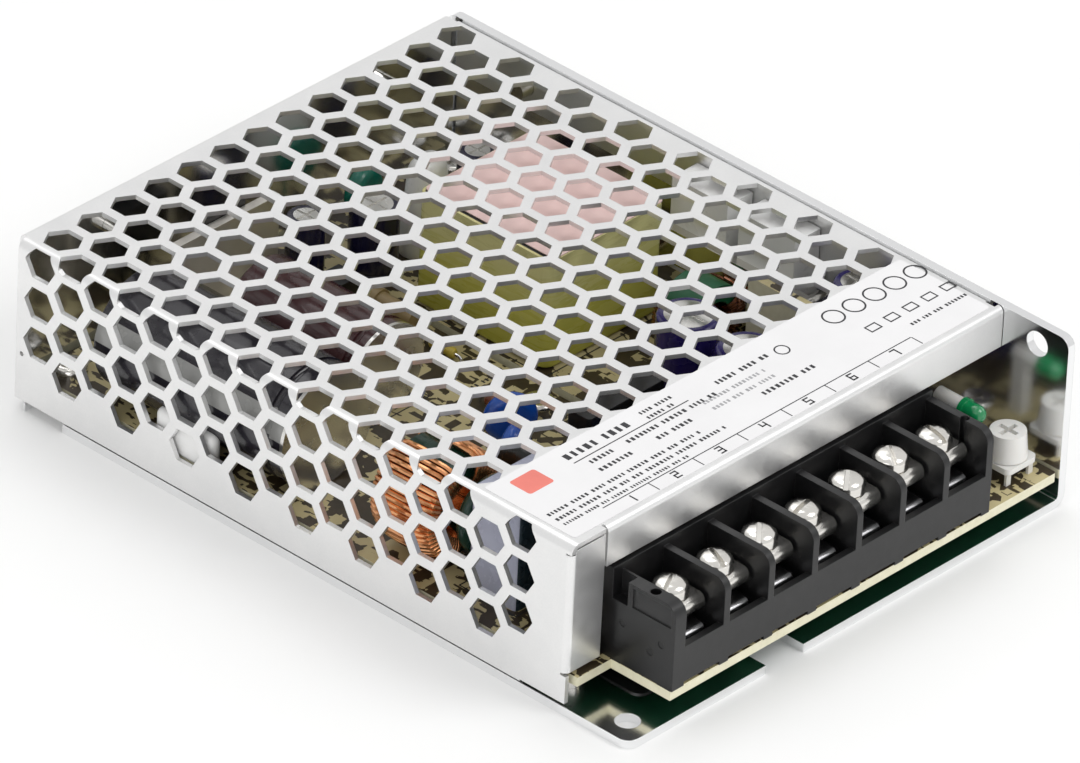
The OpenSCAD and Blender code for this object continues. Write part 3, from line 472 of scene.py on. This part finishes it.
def sweep(bm, points, radius, sides=10):
    """Adds a round tube along points."""
    count = len(points)
    points = [Vector(p) for p in points]
    tangents = []
    for i in range(count):
        tangents.append((points[min(i + 1, count - 1)] - points[max(i - 1, 0)]).normalized())
    normal = tangents[0].orthogonal().normalized()
    rings = []
    for point, tangent in zip(points, tangents):
        normal = (normal - tangent * normal.dot(tangent)).normalized()
        side = tangent.cross(normal)
        rings.append([
            bm.verts.new(point + radius * (math.cos(a) * normal + math.sin(a) * side))
            for a in (2 * math.pi * k / sides for k in range(sides))
        ])
    for a, b in zip(rings, rings[1:]):
        for k in range(sides):
            n = (k + 1) % sides
            bm.faces.new([a[k], a[n], b[n], b[k]])
    bm.faces.new(rings[0])
    bm.faces.new(rings[-1])


def lathe(bm, profile, place=(0, 0, 0), segments=32, turn=None):
    """Adds a solid of revolution about Z from a profile of (radius, height)."""
    matrix = Matrix.Translation(place) @ (turn.to_matrix().to_4x4() if turn else Matrix())
    rings = []
    for r, z in profile:
        if r <= 1e-9:
            rings.append([bm.verts.new(matrix @ Vector((0, 0, z)))])
        else:
            rings.append([
                bm.verts.new(matrix @ Vector((r * math.cos(a), r * math.sin(a), z)))
                for a in (2 * math.pi * k / segments for k in range(segments))
            ])
    for a, b in zip(rings, rings[1:]):
        for k in range(segments):
            n = (k + 1) % segments
            if len(a) == 1 and len(b) > 1:
                bm.faces.new([a[0], b[k], b[n]])
            elif len(b) == 1 and len(a) > 1:
                bm.faces.new([a[k], a[n], b[0]])
            elif len(a) > 1:
                bm.faces.new([a[k], a[n], b[n], b[k]])


def block(bm, lo, hi, turn):
    """Adds a box between two corners, turned about its own upright axis."""
    lo, hi = Vector(lo), Vector(hi)
    made = bmesh.ops.create_cube(bm, size=1.0)["verts"]
    middle, size = (lo + hi) / 2, hi - lo
    spin = Matrix.Rotation(turn, 3, "Z")
    for v in made:
        v.co = middle + spin @ Vector((v.co.x * size.x, v.co.y * size.y, v.co.z * size.z))


def plate(bm, points, z, t):
    """Adds a flat outline in X and Y as a thin plate from z to z + t."""
    low = [bm.verts.new((x, y, z)) for x, y in points]
    high = [bm.verts.new((x, y, z + t)) for x, y in points]
    bm.faces.new(low[::-1])
    bm.faces.new(high)
    for i in range(len(points)):
        n = (i + 1) % len(points)
        bm.faces.new([low[i], low[n], high[n], high[i]])


# ------------------------------------------------------------------ print

INK_T = 0.02
RING_SIDES = 32


class Print:
    """Flat printed shapes at one height, gathered in one mesh."""

    def __init__(self, z):
        self.bm = bmesh.new()
        self.z = z

    def bar(self, x, y, w, h):
        """A rectangle from its lower left corner."""
        plate(self.bm, [(x, y), (x + w, y), (x + w, y + h), (x, y + h)], self.z, INK_T)

    def frame(self, x, y, w, h, line):
        """A rectangle's outline from its lower left corner."""
        self.bar(x, y, w, line)
        self.bar(x, y + h - line, w, line)
        self.bar(x, y + line, line, h - 2 * line)
        self.bar(x + w - line, y + line, line, h - 2 * line)

    def ring(self, x, y, r, line):
        turns = (2 * math.pi * k / RING_SIDES for k in range(RING_SIDES))
        rim = [(math.cos(a), math.sin(a)) for a in turns]
        for (ax, ay), (bx, by) in zip(rim, rim[1:] + rim[:1]):
            inner = r - line
            plate(self.bm, [(x + inner * ax, y + inner * ay), (x + r * ax, y + r * ay),
                            (x + r * bx, y + r * by), (x + inner * bx, y + inner * by)], self.z, INK_T)

    def words(self, x, y, length, height):
        """A row of plain blocks in groups, which stands in for a line of print."""
        end = x + length
        while x < end:
            for _ in range(rng.randint(3, 8)):
                w = height * rng.uniform(0.30, 0.48)
                tall = height * 0.72
                if x + w > end:
                    return
                self.bar(x, y, w, tall)
                x += w + height * rng.uniform(0.30, 0.40)
            x += height * 0.6

    def digit(self, number, x, y, w, h, line):
        """A plain numeral built from seven strokes."""
        middle = y + (h - line) / 2
        strokes = {
            "a": (x, y + h - line, w, line), "g": (x, middle, w, line), "d": (x, y, w, line),
            "f": (x, middle, line, h / 2 + line / 2), "b": (x + w - line, middle, line, h / 2 + line / 2),
            "e": (x, y, line, h / 2), "c": (x + w - line, y, line, h / 2),
        }
        for key in ("abcdef", "bc", "abged", "abgcd", "fgbc", "afgcd", "afgedc", "abc")[number]:
            self.bar(*strokes[key])

    def piece(self, name, look):
        return add_piece(name, finish_mesh(self.bm, name), look, smooth=0)


# ------------------------------------------------------------------ CAD nodes: materials

SIMPLE = {
    "chassis": "plate", "cover": "sheet", "cover_screws": "nickel",
    "insulation_sheet": "film", "circuit_board": "board", "board_standoffs": "nickel",
    "board_screws": "nickel", "terminal_block": "black", "terminal_plates": "tin",
    "trimmer_base": "white", "trimmer_knob": "white", "status_led": "green_lens",
    "led_spacer": "white", "transformer_core": "ferrite", "transformer_winding": "bobbin",
    "transformer_tape": "tape", "transformer_label": "pink", "filter_choke_core": "green",
    "x_capacitor": "film_capacitor", "disc_capacitors": "discs",
    "surge_varistor": "green", "inrush_thermistor": "black_dip", "fuse": "fuse",
    "bridge_rectifier": "black", "heatsink": "sink", "switching_transistor": "black",
    "output_rectifiers": "black", "insulating_sleeves": "silicone", "clamp_bar": "nickel",
    "clamp_bar_screws": "nickel", "output_choke_core": "green_core",
    "control_board": "board", "optocoupler": "black",
    "power_resistors": "lacquer", "sealant_beads": "silicone",
}


def dress(node, look):
    """Gives a CAD node its material and shades its curved faces smooth."""
    shape = nodes[node]
    shape.data.materials.clear()
    shape.data.materials.append((LOOKS[look] if isinstance(look, str) else look).material)
    for polygon in shape.data.polygons:
        polygon.use_smooth = True
    weld = shape.modifiers.new("weld", "WELD")
    weld.merge_threshold = 1e-6
    split = shape.modifiers.new("sharp_edges", "EDGE_SPLIT")
    split.split_angle = math.radians(32)


def cans(node):
    """(x, y, radius) of each upright can in a node, from its loose parts' boxes."""
    mesh = nodes[node].data
    group = list(range(len(mesh.vertices)))

    def root(i):
        while group[i] != i:
            group[i] = group[group[i]]
            i = group[i]
        return i

    at = {}
    for vertex in mesh.vertices:
        key = tuple(round(c, 7) for c in vertex.co)
        group[vertex.index] = at.setdefault(key, vertex.index)
    for edge in mesh.edges:
        a, b = (root(i) for i in edge.vertices)
        group[a] = b
    boxes = {}
    for vertex in mesh.vertices:
        x, y = vertex.co.x / MM, vertex.co.y / MM
        box = boxes.setdefault(root(vertex.index), [x, x, y, y])
        boxes[root(vertex.index)] = [min(box[0], x), max(box[1], x), min(box[2], y), max(box[3], y)]
    return [((x0 + x1) / 2, (y0 + y1) / 2, (x1 - x0) / 2) for x0, x1, y0, y1 in boxes.values()]


for node, look in SIMPLE.items():
    dress(node, look)
for node in nodes:
    if node.startswith("clamp_washer_"):
        dress(node, "nickel")

ROLLED_EDGE = 1.15
lo, hi = span("bulk_capacitor_1")
# The lying black can gets a pale band above its middle, painted as a highlight.
dress("bulk_capacitor_1", sleeve("black_sleeve", (0.016, 0.014, 0.020), "Y", (lo.y + 0.6, hi.y - 0.3),
                                 ("Z", (lo.z + hi.z) / 2 + 3.5, 2.0)))
lo, hi = span("bulk_capacitor_2")
dress("bulk_capacitor_2", sleeve("maroon_sleeve", (0.050, 0.012, 0.014), "Y",
                                 (lo.y + 0.6, hi.y - 0.3), None))
for node, name, color in (("output_capacitors", "violet_sleeve", (0.022, 0.014, 0.115)),
                          ("bias_capacitors", "navy_sleeve", (0.010, 0.009, 0.035))):
    lo, hi = span(node)
    rims = [(x, y, r - ROLLED_EDGE) for x, y, r in cans(node)]
    dress(node, sleeve(name, color, "Z", (lo.z - 1, hi.z + 1), None, rims))

# ------------------------------------------------------------------ rating film and legend

lo, hi = span("rating_label")
FILM_T = 0.07
FILM_R = 0.6


def rounded_outline(x0, y0, x1, y1, r, steps=6):
    """Corner points of a rectangle with round corners, counter-clockwise."""
    points = []
    for cx, cy, start in ((x1 - r, y1 - r, 0), (x0 + r, y1 - r, 90),
                          (x0 + r, y0 + r, 180), (x1 - r, y0 + r, 270)):
        for k in range(steps + 1):
            a = math.radians(start + 90 * k / steps)
            points.append((cx + r * math.cos(a), cy + r * math.sin(a)))
    return points


bm = bmesh.new()
plate(bm, rounded_outline(lo.x, lo.y, hi.x, hi.y, FILM_R), lo.z, FILM_T)
add_piece("rating_film", finish_mesh(bm, "rating_film"), "label", smooth=0,
          replaces=("rating_label",))
print_z = lo.z + FILM_T

# Rows of plain blocks in place of print: (x, y, length, height)
ROWS = [
    (-32, -35.2, 16, 2.0), (-15, -34.2, 7, 1.0), (-15, -35.8, 6, 1.0),
    (-30, -38.2, 5, 1.2), (-22, -38.2, 20, 1.2), (-30.5, -40.6, 8, 1.2), (-18, -40.6, 8, 1.2),
    (-45, -43.6, 33, 1.0), (-45, -45.3, 37, 1.0), (-45, -46.8, 27, 0.8),
    (-0.5, -36.4, 12, 1.3), (2.5, -43.2, 12, 1.3), (33, -45.4, 13, 0.9),
]
ink = Print(print_z)
for row in ROWS:
    ink.words(*row)
ink.bar(-32, -36.4, 25, 0.2)
for k in range(5):
    ink.ring(26 + k * 4.6, -35.6, 1.9, 0.3)
    ink.frame(27 + k * 4.2, -42.6, 2.4, 1.8, 0.25)
ink.ring(13.5, -36.5, 1.3, 0.25)
RULE_Y, RULE_T = -47.5, 0.18
DIGIT_W, DIGIT_H, DIGIT_LINE = 1.2, 1.8, 0.28
ink.bar(bays[0].x - pitch / 2, RULE_Y, POLES * pitch, RULE_T)
for i in range(POLES):
    ink.digit(i + 1, bays[i].x - DIGIT_W / 2, RULE_Y - 2.1, DIGIT_W, DIGIT_H, DIGIT_LINE)
    ink.bar(bays[i].x + pitch / 2, RULE_Y - 2.3, RULE_T, 2.3)
ink.piece("label_print", "ink")

faint = Print(print_z)
for y in (-38.8, -40.8):
    faint.words(-6, y, 14, 1.0)
faint.piece("label_faint_print", "pale_ink")

patch = Print(print_z)
plate(patch.bm, rounded_outline(-42.8, -37.6, -37.5, -33.2, 0.5), print_z, INK_T)
patch.piece("label_red_patch", "red_ink")

# ------------------------------------------------------------------ wound wires


def coil(bm, middle, loop_r, half, start, stop, turns, wire_r, per_turn=20):
    """Adds a wire wound round a ring whose axis is Y, between two angles from +X, and returns its path.

    Each turn is a square loop with round corners, loop_r out from the ring's axis, and half gives
    its half sizes across the ring and along Y.
    """
    points = []
    for k in range(turns * per_turn + 1):
        s = k / (turns * per_turn)
        a = math.radians(start + (stop - start) * s)
        phase = 2 * math.pi * turns * s
        c, d = math.cos(phase), math.sin(phase)
        stretch = (c ** 4 + d ** 4) ** -0.25
        r = loop_r + half[0] * c * stretch
        points.append(middle + Vector((r * math.cos(a), half[1] * d * stretch, r * math.sin(a))))
    sweep(bm, points, wire_r, sides=8)
    return points


WIRE_R = 0.42
DARK_WIRE_R = 0.38
WINDING_ARC = 150
middle = centre("filter_choke_core")
bm = bmesh.new()
for start in (-75, 105):
    path = coil(bm, middle, loop_r=6.4, half=(2.4, 6.1), start=start, stop=start + WINDING_ARC,
                turns=25, wire_r=WIRE_R)
    foot = path[0] if start < 0 else path[-1]
    leg = [foot, (foot.x, foot.y, BOARD_TOP + 1), (foot.x, foot.y, BOARD_TOP + 0.3)]
    sweep(bm, leg, WIRE_R * 0.9, sides=8)
add_piece("filter_choke_wires", finish_mesh(bm, "filter_choke_wires"), "copper",
          replaces=("filter_choke_winding",))

middle = centre("output_choke_core")
bm = bmesh.new()
coil(bm, middle, loop_r=4.8, half=(2.05, 3.85), start=-215, stop=35, turns=33, wire_r=DARK_WIRE_R)
add_piece("output_choke_wires", finish_mesh(bm, "output_choke_wires"), "dark_wire",
          replaces=("output_choke_winding",))

# ------------------------------------------------------------------ terminal screws

HEAD_H = 2.5
CREST_R, ROOT_R, THREAD_PITCH = 1.72, 1.48, 0.6
RECESS_TURNS = (25, 70, 40, 10, 38, 55, 80)


def terminal_screw(name, turn):
    """Domed head with a combination slot, over a threaded shank."""
    lo, hi = span(name)
    x, y, r = (lo.x + hi.x) / 2, (lo.y + hi.y) / 2, (hi.x - lo.x) / 2
    under = hi.z - HEAD_H
    profile = [(0, hi.z), (r * 0.55, hi.z - 0.10), (r * 0.84, hi.z - 0.40), (r * 0.97, hi.z - 0.85),
               (r, hi.z - 1.25), (r, under + 0.2), (r - 0.2, under), (CREST_R, under)]
    z = under - THREAD_PITCH / 2
    while z > lo.z + THREAD_PITCH:
        profile += [(ROOT_R, z), (CREST_R, z - THREAD_PITCH / 2)]
        z -= THREAD_PITCH
    profile += [(ROOT_R, lo.z + 0.1), (ROOT_R - 0.2, lo.z), (0, lo.z)]
    bm = bmesh.new()
    lathe(bm, profile, (x, y, 0), segments=40)
    mesh = finish_mesh(bm, name)
    angle = math.radians(turn)
    slot = (2 * r + 1, 0.8, 0.9, angle)
    cross_arm = (3.6, 0.9, 1.3, angle + math.pi / 2)
    for length, width, depth, spin in (slot, cross_arm):
        cutter = bmesh.new()
        block(cutter, (x - length / 2, y - width / 2, hi.z - depth),
              (x + length / 2, y + width / 2, hi.z + 1), turn=spin)
        mesh = carved(mesh, finish_mesh(cutter, "recess"))
    mesh.materials.clear()
    return mesh


for i, turn in enumerate(RECESS_TURNS):
    node = "terminal_screw_%d" % (i + 1)
    add_piece("slotted_screw_%d" % (i + 1), terminal_screw(node, turn), "nickel", body="screw_%d" % (i + 1),
              replaces=(node,))

# ------------------------------------------------------------------ small parts on the board


LEAD_R = 0.28


def axial_part(name, x, y, length, r, look, turn=0.0):
    """A leaded part lying on the board: a necked barrel between two bent leads."""
    spin = Matrix.Rotation(math.radians(turn), 3, "Z")
    place = Vector((x, y, BOARD_TOP + r + 0.2))
    bm = bmesh.new()
    half = length / 2
    barrel = [(0, -half), (r * 0.7, -half), (r, -half + r * 0.4), (r, -half + r * 1.1),
              (r * 0.88, -half + r * 1.5), (r * 0.88, half - r * 1.5),
              (r, half - r * 1.1), (r, half - r * 0.4), (r * 0.7, half), (0, half)]
    lathe(bm, barrel, place, 20, Euler((0, math.pi / 2, math.radians(turn))))
    add_piece(name, finish_mesh(bm, name), look)
    bm = bmesh.new()
    for side in (-1, 1):
        out = [(half - 0.2, 0), (half + 0.9, 0), (half + 1.3, -0.25), (half + 1.45, -0.7),
               (half + 1.45, -r - 0.15)]
        sweep(bm, [place + spin @ Vector((side * u, 0, w)) for u, w in out], LEAD_R, sides=8)
    add_piece(name + "_leads", finish_mesh(bm, name + "_leads"), "tin")


for i, (x, y, length, r, look, turn) in enumerate([
    (-22.5, -29.0, 5.5, 1.0, "brown_dip", 90), (3.5, -14.5, 6.0, 1.1, "lacquer", 0),
    (4.0, -9.5, 5.0, 0.9, "black_dip", 0), (-3.0, 4.5, 6.0, 1.1, "brown_dip", 90),
    (2.5, 22.0, 5.0, 0.9, "yellow_dip", 90), (-6.0, -31.0, 5.0, 0.9, "black_dip", 0),
]):
    axial_part("axial_part_%d" % (i + 1), x, y, length, r, look, turn)

# Printed outlines round the parts, a ring at the board's middle and rows of marks
legend = Print(BOARD_TOP + 0.005)
for node in ("transformer_tape", "x_capacitor", "bridge_rectifier", "fuse", "heatsink", "bulk_capacitor_2"):
    lo, hi = span(node)
    legend.frame(lo.x - 0.9, lo.y - 0.9, hi.x - lo.x + 1.8, hi.y - lo.y + 1.8, 0.25)
for x, y, r in cans("output_capacitors"):
    legend.ring(x, y, r + 0.8, 0.25)
legend.ring(0, 0.2, 1.6, 0.35)
for y in (-20.0, -26.5, -33.0, 12.0, 30.0):
    legend.words(-2.0, y, 8, 1.1)
legend.piece("board_print", "ink")

# Solder joints and cut leads under the board
SOLDERED = ("bridge_rectifier", "x_capacitor", "transformer_winding", "output_capacitors",
            "output_rectifiers", "bias_capacitors", "bulk_capacitor_1", "bulk_capacitor_2",
            "inrush_thermistor", "surge_varistor")
JOINT_PROFILE = [(0, 0), (0.95, 0), (0.5, -0.45), (0.3, -0.8), (0.26, -1.1), (0, -1.1)]
under = span("circuit_board")[0].z
bm = bmesh.new()
for node in SOLDERED:
    a, b = span(node)
    for x in (a.x + 2, (a.x + b.x) / 2, b.x - 2):
        for y in (a.y + 1.5, b.y - 1.5):
            lathe(bm, JOINT_PROFILE, (x, y, under), 12)
add_piece("solder_joints", finish_mesh(bm, "solder_joints"), "solder")

# ------------------------------------------------------------------ stage, light and camera

FLOOR_SIDE = 6
floor = bpy.data.meshes.new("floor")
corners = [(-FLOOR_SIDE, -FLOOR_SIDE, 0), (FLOOR_SIDE, -FLOOR_SIDE, 0),
           (FLOOR_SIDE, FLOOR_SIDE, 0), (-FLOOR_SIDE, FLOOR_SIDE, 0)]
floor.from_pydata(corners, [], [(0, 1, 2, 3)])
floor = bpy.data.objects.new("floor", floor)
bpy.context.scene.collection.objects.link(floor)
paper = plain("pale_floor", (0.92, 0.92, 0.915), 0.8, grain=8, vary=0.01, relief=0, edges=0)
floor.data.materials.append(paper.material)

bpy.context.scene.view_settings.view_transform = "Standard"
world = bpy.data.worlds.new("studio")
world.use_nodes = True
world.node_tree.nodes["Background"].inputs["Color"].default_value = (1.0, 1.0, 1.0, 1.0)
world.node_tree.nodes["Background"].inputs["Strength"].default_value = 0.80
bpy.context.scene.world = world


def area_light(name, place, target, size, power):
    """A square soft light at a place, pointed at a target; both in metres."""
    data = bpy.data.lights.new(name, "AREA")
    data.shape = "SQUARE"
    data.size = size
    data.energy = power
    light = bpy.data.objects.new(name, data)
    light.location = place
    light.rotation_mode = "QUATERNION"
    light.rotation_quaternion = (Vector(target) - Vector(place)).to_track_quat("-Z", "Y")
    bpy.context.scene.collection.objects.link(light)
    return light


area_light("key_light", (0.30, -0.55, 0.75), (0, 0, 0.01), 0.45, 2.4)
area_light("fill_light", (-0.75, -0.25, 0.40), (0, 0, 0.01), 0.5, 0.9)
area_light("top_light", (0.10, 0.35, 0.90), (0, 0, 0.01), 0.5, 1.2)

def photo_camera():
    """Long lens from the front left and above, level but for a slight roll."""
    azimuth, elevation, roll = (math.radians(a) for a in (-48.38, 32.95, 2.92))
    target, distance = Vector((-2.2, -2.3, 15.0)), 2151.7
    back = Vector((
        math.sin(azimuth) * math.cos(elevation),
        -math.cos(azimuth) * math.cos(elevation),
        math.sin(elevation),
    ))
    right = Vector((0, 0, 1)).cross(back).normalized()
    up = back.cross(right)
    across = right * math.cos(roll) + up * math.sin(roll)
    upward = up * math.cos(roll) - right * math.sin(roll)
    data = bpy.data.cameras.new("camera")
    data.lens = 474.49
    data.sensor_width = 36.0
    data.clip_start, data.clip_end = 0.1, 30.0
    camera = bpy.data.objects.new("camera", data)
    matrix = Matrix((across, upward, back)).transposed().to_4x4()
    matrix.translation = (target + back * distance) * MM
    camera.matrix_world = matrix
    bpy.context.scene.collection.objects.link(camera)
    bpy.context.scene.camera = camera


photo_camera()
